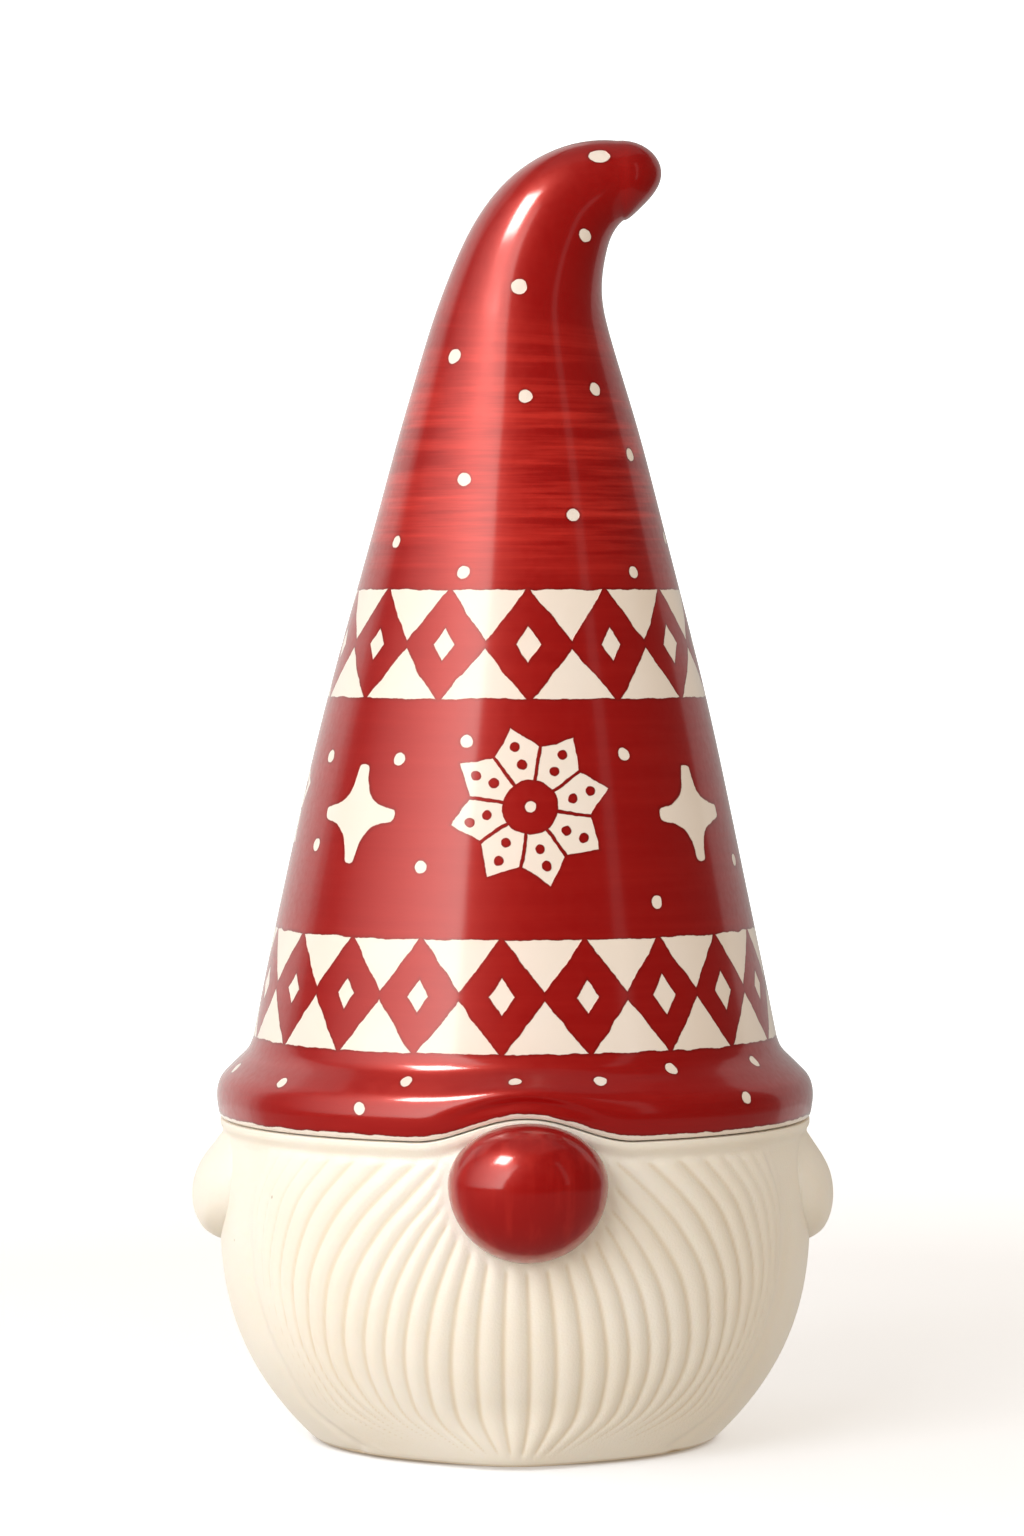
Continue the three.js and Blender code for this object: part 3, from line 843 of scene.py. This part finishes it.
class GnomeBeard(bpy.types.PropertyGroup):
    """Sizes of the fluted beard."""

    groove_depth: bpy.props.FloatProperty(
        name="Groove depth", description="Depth of the widest grooves", default=0.001, unit="LENGTH"
    )
    groove_share: bpy.props.FloatProperty(
        name="Groove share",
        description="Depth of a groove as a part of the distance between ridges",
        default=0.2,
    )
    beard_raise: bpy.props.FloatProperty(
        name="Beard raise",
        description="How far the beard stands out of the jar's side",
        default=0.0006,
        unit="LENGTH",
    )


class GnomeDecoration(bpy.types.PropertyGroup):
    """Sizes of the glaze pattern on the hat."""

    dot_radius: bpy.props.FloatProperty(
        name="Dot radius", description="Radius of a loose dot", default=0.00145, unit="LENGTH"
    )
    flower_reach: bpy.props.FloatProperty(
        name="Flower reach",
        description="From a flower's middle to the points of its petals",
        default=0.0186,
        unit="LENGTH",
    )
    star_reach: bpy.props.FloatProperty(
        name="Star reach", description="Length of a star's arm", default=0.0114, unit="LENGTH"
    )
    small_diamond_width: bpy.props.FloatProperty(
        name="Small diamond width",
        description="Width of the ivory diamond inside each red one",
        default=0.0056,
        unit="LENGTH",
    )
    small_diamond_height: bpy.props.FloatProperty(
        name="Small diamond height",
        description="Height of the ivory diamond inside each red one",
        default=0.0079,
        unit="LENGTH",
    )
    hand_wobble: bpy.props.FloatProperty(
        name="Hand wobble",
        description="How far the painted edges wander",
        default=0.0014,
        unit="LENGTH",
    )
    streak_strength: bpy.props.FloatProperty(
        name="Streaks", description="Strength of the brush streaks", default=0.75, subtype="FACTOR"
    )
    gloss: bpy.props.FloatProperty(
        name="Glaze roughness",
        description="Roughness of the glaze's clear skin",
        default=0.13,
        subtype="FACTOR",
    )


class GnomeColours(bpy.types.PropertyGroup):
    """Colours of the glazes and of the small parts."""

    red_deep: bpy.props.FloatVectorProperty(
        name="Deep red",
        description="Red glaze where it is thick",
        default=linear("960407"),
        size=4,
        subtype="COLOR",
    )
    red_light: bpy.props.FloatVectorProperty(
        name="Light red",
        description="Red glaze where the brush left it thin",
        default=linear("D4332A"),
        size=4,
        subtype="COLOR",
    )
    ivory: bpy.props.FloatVectorProperty(
        name="Ivory", description="Ivory glaze", default=linear("F5F1E9"), size=4, subtype="COLOR"
    )
    ivory_warm: bpy.props.FloatVectorProperty(
        name="Warm ivory",
        description="Ivory glaze where it is thin over the clay",
        default=linear("F2EADC"),
        size=4,
        subtype="COLOR",
    )
    # Painted shade colour for the ivory deep in the beard's grooves, where shade falls.
    ivory_groove_shade: bpy.props.FloatVectorProperty(
        name="Painted groove shade",
        description="Painted shade on the ivory deep in the beard's grooves",
        default=linear("DAC8A9"),
        size=4,
        subtype="COLOR",
    )
    felt: bpy.props.FloatVectorProperty(
        name="Felt",
        description="Felt under the base",
        default=linear("5E5850"),
        size=4,
        subtype="COLOR",
    )
    silicone: bpy.props.FloatVectorProperty(
        name="Seal", description="Silicone seal", default=linear("ECE9E2"), size=4, subtype="COLOR"
    )
    floor: bpy.props.FloatVectorProperty(
        name="Floor", description="Studio paper", default=linear("F3F5FA"), size=4, subtype="COLOR"
    )


class GnomeStudio(bpy.types.PropertyGroup):
    """Strengths of the studio's lights."""

    key_power: bpy.props.FloatProperty(
        name="Key light",
        description="Power of the soft light at the left",
        default=6.0,
        unit="POWER",
    )
    fill_power: bpy.props.FloatProperty(
        name="Fill light",
        description="Power of the warm light at the right",
        default=0.5,
        unit="POWER",
    )
    panel_glow: bpy.props.FloatProperty(
        name="Panel brightness",
        description="Brightness of the left panel that the glaze mirrors",
        default=3.6,
    )
    back_glow: bpy.props.FloatProperty(
        name="Back brightness",
        description="Brightness of the panel behind that the glaze mirrors at its edges",
        default=0.45,
    )
    room: bpy.props.FloatProperty(
        name="Room light", description="Brightness of the room all round", default=0.68
    )
    floor_glow: bpy.props.FloatProperty(
        name="Floor glow", description="How much the studio paper glows", default=0.3
    )


# ---- Operators ----


class GNOME_OT_jar(bpy.types.Operator):
    """Build the round jar with its fluted beard, face band and mouth."""

    bl_idname = "gnome.jar"
    bl_label = "Jar"

    def execute(self, context):
        mesh = spun("jar_shell", self.profile(), 480)
        x, y, z = points_of(mesh).T
        radius = np.hypot(x, y)
        # Columns crowd towards the face, where the beard is.
        turn = np.arctan2(x, -y)
        turn = turn - 0.5 * np.sin(turn)
        outer = (radius > side_radius(np.minimum(z, BAND_BOTTOM)) - 3) & (z > FOOT_HEIGHT + 0.2)
        lift = smoothstep(z, BELLY_HEIGHT, BAND_BOTTOM)
        lift *= 1 - smoothstep(z, BAND_TOP, RIM_HEIGHT)
        lifted = z + ARCH_RISE * arch_at(turn) * lift * outer
        points = np.stack([radius * np.sin(turn), -radius * np.cos(turn), lifted], 1)
        relief, groove = beard_relief(points, z, context.scene.gnome_beard)
        radius = radius + relief * outer
        points = np.stack([radius * np.sin(turn), -radius * np.cos(turn), lifted], 1)
        # The beard's point pushes the front of the foot out.
        front = np.exp(-((points[:, 0] / POINT_HALF_WIDTH) ** 2)) * (points[:, 1] < 0)
        low = (1 - smoothstep(z, FOOT_HEIGHT, POINT_TOP)) * (radius > FELT_RADIUS + 1)
        points[:, 1] -= POINT_OUT * front * low
        move_points(mesh, points)
        # The groove depth is kept for the painted shade that the ivory glaze puts in the grooves.
        store(mesh, "groove", groove * outer)
        finished(mesh, "jar", "jar_body", [ivory_glaze()])
        return {"FINISHED"}

    def profile(self):
        recess = FELT_RADIUS + GLUE_GAP
        foot = [(0, RECESS_TOP), (recess, RECESS_TOP)]
        foot += [(recess, FOOT_HEIGHT + 0.4), (recess + 0.4, FOOT_HEIGHT)]
        edge = arc(FOOT_RADIUS - 0.7, FOOT_HEIGHT + 1.1, 1.2, 1.1, -90, -20, 5)
        rim_middle = RIM_HEIGHT - RIM_ROUNDING
        rim = arc(NECK_RADIUS - RIM_ROUNDING, rim_middle, RIM_ROUNDING, RIM_ROUNDING, 0, 90, 5)
        lip = arc(MOUTH_RADIUS + RIM_ROUNDING, rim_middle, RIM_ROUNDING, RIM_ROUNDING, 90, 180, 5)
        low, high = FLOOR_TOP + WALL, BAND_BOTTOM - WALL
        inner = [(float(side_radius(z)) - WALL, z) for z in np.linspace(high, low, 18)]
        floor_radius = float(side_radius(FLOOR_TOP)) - 2 * WALL
        inner = spline([lip[-1], (MOUTH_RADIUS, BAND_TOP), *inner, (floor_radius, FLOOR_TOP)], 40)
        floor = [(floor_radius / 2, FLOOR_TOP), (0, FLOOR_TOP)]
        return foot + edge + jar_skin() + rim + lip + inner[1:] + floor


class GNOME_OT_nose(bpy.types.Operator):
    """Build the ball nose that is luted to the jar under the brim's arch."""

    bl_idname = "gnome.nose"
    bl_label = "Nose"

    def execute(self, context):
        bm = bmesh.new()
        upright = Matrix.Rotation(math.radians(90), 4, "X")
        bmesh.ops.create_uvsphere(bm, u_segments=128, v_segments=72, radius=1, matrix=upright)
        size = (NOSE_HALF_WIDTH + 0.3, NOSE_HALF_DEPTH, NOSE_LOWER + 0.4)
        bmesh.ops.scale(bm, vec=size, verts=bm.verts[:])
        top = [vert for vert in bm.verts if vert.co.z > 0]
        bmesh.ops.scale(bm, vec=(1, 1, NOSE_UPPER / (NOSE_LOWER + 0.4)), verts=top)
        bmesh.ops.translate(bm, vec=(0.4, -NOSE_OUT, NOSE_CENTRE), verts=bm.verts[:])
        bmesh.ops.rotate(bm, matrix=Matrix.Rotation(NOSE_TURN, 3, "Z"), verts=bm.verts[:])
        mesh = shell("nose_ball", bm)
        x, y, z = points_of(mesh).T
        radius, turn = np.hypot(x, y), np.arctan2(x, -y)
        # The back is pressed on the jar's side and face band, which rise with the arch.
        levels = np.linspace(FOOT_HEIGHT, RIM_HEIGHT, 400)
        lift = smoothstep(levels, BELLY_HEIGHT, BAND_BOTTOM)
        lift *= 1 - smoothstep(levels, BAND_TOP, RIM_HEIGHT)
        under = np.interp(z, levels + ARCH_RISE * 0.95 * lift, levels)
        skin = np.where(under > BAND_BOTTOM + 1, BAND_RADIUS, skin_radius(under)) - 0.2
        store(mesh, "stand", np.clip(radius - skin, 0, 20))
        pressed = np.maximum(radius, skin)
        # The clay spreads a little where it is pressed on.
        spread = 1 + 0.03 * (1 - smoothstep(radius - skin, 0, 1.6))
        turn = NOSE_TURN + (turn - NOSE_TURN) * spread
        z = np.where(z < NOSE_CENTRE, NOSE_CENTRE + (z - NOSE_CENTRE) * spread, z)
        points = np.stack([pressed * np.sin(turn), -pressed * np.cos(turn), z], 1)
        move_points(mesh, points)
        finished(mesh, "jar", "nose", [nose_glaze()])
        return {"FINISHED"}


class GNOME_OT_ears(bpy.types.Operator):
    """Build the two ears as lobes that melt into the jar's sides under the brim."""

    bl_idname = "gnome.ears"
    bl_label = "Ears"

    def execute(self, context):
        ivory = bpy.data.materials["Satin ivory glaze on earthenware"]
        for name, node, side, reach in (
            ("left_lobe", "ear_left", -1, -LEFT_EAR_LOW.x),
            ("right_lobe", "ear_right", 1, RIGHT_EAR_HIGH.x),
        ):
            bm = bmesh.new()
            outward = Matrix.Rotation(math.radians(90), 4, "Y")
            bmesh.ops.create_uvsphere(bm, u_segments=128, v_segments=96, radius=1, matrix=outward)
            mesh = shell(name, bm)
            out, fore, up = points_of(mesh).T
            spread = np.hypot(fore, up)
            # fore is +1 at the lobe's front and up is +1 under the brim.
            tall = np.where(up > 0, EAR_TOP - EAR_MIDDLE, EAR_MIDDLE - EAR_BOTTOM)
            z = EAR_MIDDLE + up * tall
            width = np.radians(np.where(up > 0, 17 + 8 * up, 17 + 5 * up))
            turn = side * (math.pi / 2 - fore * width)
            # Its back and front drop off steeply, and its top runs out in a long slope.
            level = np.clip(1 - up**2, 1e-6, 1)
            across = np.clip(1 - fore**2 / level, 0, 1) ** 0.6
            slope = 0.6 + 1.1 * smoothstep(up, -0.2, 0.8)
            stand = (reach - BELLY_RADIUS + 0.7) * level**slope * across
            sunk = 0.5 * smoothstep(spread, 0.75, 1)
            back = -0.5 - 1.2 * np.clip(1 - spread**2, 0, 1)
            height = np.where(out > 0, stand - sunk, back)
            radius = skin_radius(z) + height
            move_points(mesh, np.stack([radius * np.sin(turn), -radius * np.cos(turn), z], 1))
            if side > 0:
                mesh.flip_normals()
            finished(mesh, "jar", node, [ivory], sharp=180)
        return {"FINISHED"}


class GNOME_OT_hat(bpy.types.Operator):
    """Build the hollow hat with its brim, curled tip and the flange that drops into the jar."""

    bl_idname = "gnome.hat"
    bl_label = "Hat"

    def execute(self, context):
        mesh = spun("hat_shell", self.profile(), 320)
        points = points_of(mesh)
        middles = face_middles(mesh)
        reach = np.hypot(middles[:, 0], middles[:, 1])
        inside = reach < hat_radius(middles[:, 2]) - 2.2
        inside &= middles[:, 2] < HOLLOW_TOP + 5
        inside |= middles[:, 2] < BRIM_EDGE - 0.01
        inside |= (middles[:, 2] < SEAT_HEIGHT + 1) & (reach < BRIM_BORE + 0.3)
        store(mesh, "thrown", points)
        mesh.polygons.foreach_set("material_index", inside.astype(np.int32))
        move_points(mesh, bend_hat(self.fold(points)))
        ivory = bpy.data.materials["Satin ivory glaze on earthenware"]
        finished(mesh, "hat", "hat_lid", [hat_glaze(), ivory])
        return {"FINISHED"}

    def fold(self, points):
        """Presses a crease into the brim just above its lip, over the nose."""
        x, y, z = points.T
        turn = np.arctan2(x, -y)
        radius = np.hypot(x, y)
        outside = (radius > BRIM_BORE + 1) & (z > BRIM_EDGE + 0.2) & (z < BRIM_TOP)
        crease = np.exp(-(((z - BRIM_EDGE - 4.4) / 1.6) ** 2)) * arch_at(turn) ** 1.5
        radius = radius - outside * 1.1 * crease
        return np.stack([radius * np.sin(turn), -radius * np.cos(turn), z], 1)

    def profile(self):
        seat, bore = SEAT_HEIGHT, BRIM_BORE
        dome_base = HOLLOW_TOP - HOLLOW_DOME
        wall = [p for p in cone_outline(HAT_WALL, 60) if p[0] < FLANGE_BORE and p[1] < dome_base]
        dome = arc(0, dome_base, wall[-1][0] - 1, HOLLOW_DOME, 90, 0, 8)
        inner = dome + wall[::-1]
        inner += line((FLANGE_BORE, wall[0][1]), (FLANGE_BORE, FLANGE_END + 0.6), 4)
        flange = arc(FLANGE_BORE + 0.6, FLANGE_END + 0.6, 0.6, 0.6, 180, 270, 3)
        flange += arc(FLANGE_RADIUS - 0.6, FLANGE_END + 0.6, 0.6, 0.6, 270, 360, 3)
        groove = [(FLANGE_RADIUS, SEAL_BOTTOM - GLUE_GAP), (SEAL_INNER, SEAL_BOTTOM - GLUE_GAP)]
        groove += [(SEAL_INNER, SEAL_TOP + GLUE_GAP), (FLANGE_RADIUS, SEAL_TOP + GLUE_GAP)]
        under = [(FLANGE_RADIUS, seat), (bore, seat)]
        under += line((bore, seat), (bore, BRIM_EDGE + 0.5), 6)
        lip = (BRIM_RADIUS - bore) / 2
        under += [(bore + 0.15, BRIM_EDGE + 0.15), (bore + 0.5, BRIM_EDGE)]
        under += line((bore + 0.5, BRIM_EDGE), (bore + lip - 0.3, BRIM_EDGE), 2)
        cone = cone_outline(0, 120)
        end = cone[-1]
        tip = arc(0, end[1], end[0], TIP_ROUNDING, 0, 90, 14)
        outside = brim_outline() + cone[1:] + tip[1:-1] + [(0, HAT_TIP)]
        return inner + flange + groove + under + outside


class GNOME_OT_seal(bpy.types.Operator):
    """Build the soft ring with two ribs that sits in the flange's groove."""

    bl_idname = "gnome.seal"
    bl_label = "Seal"

    def execute(self, context):
        inner, face, out = SEAL_INNER + GLUE_GAP, FLANGE_RADIUS, SEAL_HIGH.x
        ring = [(inner, SEAL_BOTTOM)]
        for bottom in (SEAL_BOTTOM, SEAL_TOP - 1.2):
            ring += arc(face, bottom + 0.6, out - face, 0.6, -90, 90, 8)
        ring += [(inner, SEAL_TOP), (inner, SEAL_BOTTOM)]
        mesh = spun("flange_seal", ring, 192)
        finished(mesh, "hat", "lid_seal", [moulded_silicone()])
        return {"FINISHED"}


class GNOME_OT_felt(bpy.types.Operator):
    """Build the felt disc under the base, with its soft cut edge."""

    bl_idname = "gnome.felt"
    bl_label = "Felt"

    def execute(self, context):
        bm = bmesh.new()
        bmesh.ops.create_circle(bm, cap_ends=True, radius=FELT_RADIUS, segments=128)
        grown = bmesh.ops.extrude_face_region(bm, geom=bm.faces[:])["geom"]
        top = [part for part in grown if isinstance(part, bmesh.types.BMVert)]
        bmesh.ops.translate(bm, vec=(0, 0, FELT_HIGH.z), verts=top)
        rims = [e for e in bm.edges if abs(e.verts[0].co.z - e.verts[1].co.z) < 1e-6]
        bmesh.ops.bevel(
            bm,
            geom=rims,
            offset=0.35,
            offset_type="OFFSET",
            affect="EDGES",
            segments=3,
            profile=0.5,
            material=-1,
        )
        finished(shell("felt_disc", bm), "jar", "base_felt", [wool_felt()])
        return {"FINISHED"}


class GNOME_OT_stage(bpy.types.Operator):
    """Build the pale floor that sweeps up behind, the soft lights and the camera."""

    bl_idname = "gnome.stage"
    bl_label = "Stage"

    def execute(self, context):
        studio = context.scene.gnome_studio
        context.scene.view_settings.view_transform = "Standard"
        self.paper()
        self.light("key", -30, 24, 1.1, (0.7, 0.7), studio.key_power, "F6FAFF")
        self.light("side", -98, 15, 1.1, (0.7, 0.9), studio.key_power * 0.34, "FAFCFF")
        self.light("fill", 110, 15, 1.2, (0.8, 0.9), studio.fill_power, "FFC88C")
        self.light("bounce", -52, -4, 0.9, (1.0, 0.14), studio.key_power * 0.26, "FFF2E0")
        panel, back = studio.panel_glow, studio.back_glow
        self.panel("left_panel", -64, 27, 1.0, (1.5, 1.2), panel, fading=True)
        self.panel("lamp", -46, 52, 0.95, (0.27, 0.27), panel * 9)
        self.panel("right_strip", 51, 25, 1.1, (0.12, 0.9), panel * 0.12)
        self.panel("back_panel", 180, 12, 1.3, (4.4, 2.4), back)
        self.panel("left_back_panel", -142, 12, 1.25, (1.4, 2.4), back)
        self.panel("overhead", 150, 80, 1.1, (0.9, 0.9), back * 0.4)
        self.panel("floor_card", 0, -90, 0.129, (1.0, 1.0), back * 0.35)
        world = bpy.data.worlds.new("room")
        context.scene.world = world
        world.use_nodes = True
        backdrop = world.node_tree.nodes["Background"]
        backdrop.inputs["Color"].default_value = linear("FFF1DE")
        backdrop.inputs["Strength"].default_value = studio.room
        world.cycles_visibility.glossy = False
        self.camera(context.scene)
        return {"FINISHED"}

    def paper(self):
        """A round floor that sweeps up into a wall on every side."""
        bm = bmesh.new()
        turns = np.radians(range(0, 91, 9))
        bend = [(6 + math.sin(turn), 1 - math.cos(turn)) for turn in turns]
        sweep = [(0, 0), (0.4, 0), (1.2, 0), *bend, (7, 7)]
        verts = [bm.verts.new((radius, 0, height)) for radius, height in sweep]
        for pair in zip(verts, verts[1:]):
            bm.edges.new(pair)
        geom = bm.verts[:] + bm.edges[:]
        bmesh.ops.spin(bm, geom=geom, axis=(0, 0, 1), cent=(0, 0, 0), angle=2 * math.pi, steps=96)
        mesh = shell("studio_sweep", bm)
        mesh.polygons.foreach_set("use_smooth", [True] * len(mesh.polygons))
        mesh.materials.append(studio_paper())
        floor = bpy.data.objects.new("studio_sweep", mesh)
        bpy.context.scene.collection.objects.link(floor)
        # The room's own light stands for what the paper would throw back.
        floor.visible_diffuse = False
        floor.visible_glossy = False

    def light(self, name, azimuth, rise, distance, size, power, colour):
        """Adds a soft light at an azimuth and a rise in degrees, turned to the jar's middle."""
        lamp = bpy.data.lights.new(name, "AREA")
        lamp.shape = "RECTANGLE"
        lamp.size, lamp.size_y = size
        lamp.energy = power
        lamp.color = linear(colour)[:3]
        turn, lift = math.radians(azimuth), math.radians(rise)
        holder = bpy.data.objects.new(name, lamp)
        middle = Vector((0, 0, 0.13))
        out = math.cos(lift)
        away = Vector((math.sin(turn) * out, -math.cos(turn) * out, math.sin(lift)))
        holder.location = middle + distance * away
        holder.rotation_euler = away.to_track_quat("Z", "Y").to_euler()
        holder.visible_glossy = False
        holder.visible_camera = False
        bpy.context.scene.collection.objects.link(holder)
        return holder

    def panel(self, name, azimuth, rise, distance, size, brightness, fading=False):
        """Adds a panel that is only mirrored in the glaze, as bright as brightness says."""
        power = brightness * math.pi * size[0] * size[1]
        holder = self.light(name, azimuth, rise, distance, size, power, "FFFDF8")
        holder.visible_glossy = True
        holder.visible_diffuse = False
        if fading:
            # It is brightest along its right edge and fades to the left and towards the top.
            holder.data.use_nodes = True
            tree = holder.data.node_tree
            place = add(tree, "SeparateXYZ", add(tree, "NewGeometry").outputs["Parametric"])
            side = add(tree, "MapRange", place.outputs[0], 0, 1, 0.0, 1.3)
            glow = add(tree, "Math", side, 1.6, operation="POWER")
            upper = add(tree, "MapRange", place.outputs[1], 1, 0.6, 0.3, 1)
            glow = add(tree, "Math", glow, upper, operation="MULTIPLY")
            tree.links.new(glow.outputs[0], tree.nodes["Emission"].inputs["Strength"])

    def camera(self, scene):
        lens = bpy.data.cameras.new("camera")
        lens.lens = 127.1
        lens.sensor_width = 36
        holder = bpy.data.objects.new("camera", lens)
        holder.location = (-0.0007, -1.26, 0.195)
        holder.rotation_euler = (math.radians(90 - 1.788), 0, 0)
        scene.collection.objects.link(holder)
        scene.camera = holder


class GNOME_PT_panel(bpy.types.Panel):
    """Lists the pieces of the gnome jar and their sizes."""

    bl_idname = "GNOME_PT_panel"
    bl_label = "Gnome Jar"
    bl_space_type = "VIEW_3D"
    bl_region_type = "UI"
    bl_category = "Gnome Jar"

    def draw(self, context):
        for build in OPERATORS:
            self.layout.operator(build.bl_idname)
        for group in GROUPS:
            box = self.layout.box()
            owner = getattr(context.scene, group)
            for name in owner.bl_rna.properties.keys():
                if name not in {"rna_type", "name"}:
                    box.prop(owner, name)


OPERATORS = (
    GNOME_OT_jar,
    GNOME_OT_nose,
    GNOME_OT_ears,
    GNOME_OT_hat,
    GNOME_OT_seal,
    GNOME_OT_felt,
    GNOME_OT_stage,
)
GROUPS = {
    "gnome_beard": GnomeBeard,
    "gnome_decoration": GnomeDecoration,
    "gnome_colours": GnomeColours,
    "gnome_studio": GnomeStudio,
}


def register():
    for kind in (*GROUPS.values(), *OPERATORS, GNOME_PT_panel):
        bpy.utils.register_class(kind)
    for name, kind in GROUPS.items():
        setattr(bpy.types.Scene, name, bpy.props.PointerProperty(type=kind))


def unregister():
    for name in GROUPS:
        delattr(bpy.types.Scene, name)
    for kind in (GNOME_PT_panel, *OPERATORS[::-1], *GROUPS.values()):
        bpy.utils.unregister_class(kind)


def main():
    register()
    bpy.ops.gnome.jar()
    bpy.ops.gnome.nose()
    bpy.ops.gnome.ears()
    bpy.ops.gnome.hat()
    bpy.ops.gnome.seal()
    bpy.ops.gnome.felt()
    bpy.ops.gnome.stage()
    bpy.context.view_layer.update()


if __name__ == "__main__":
    main()
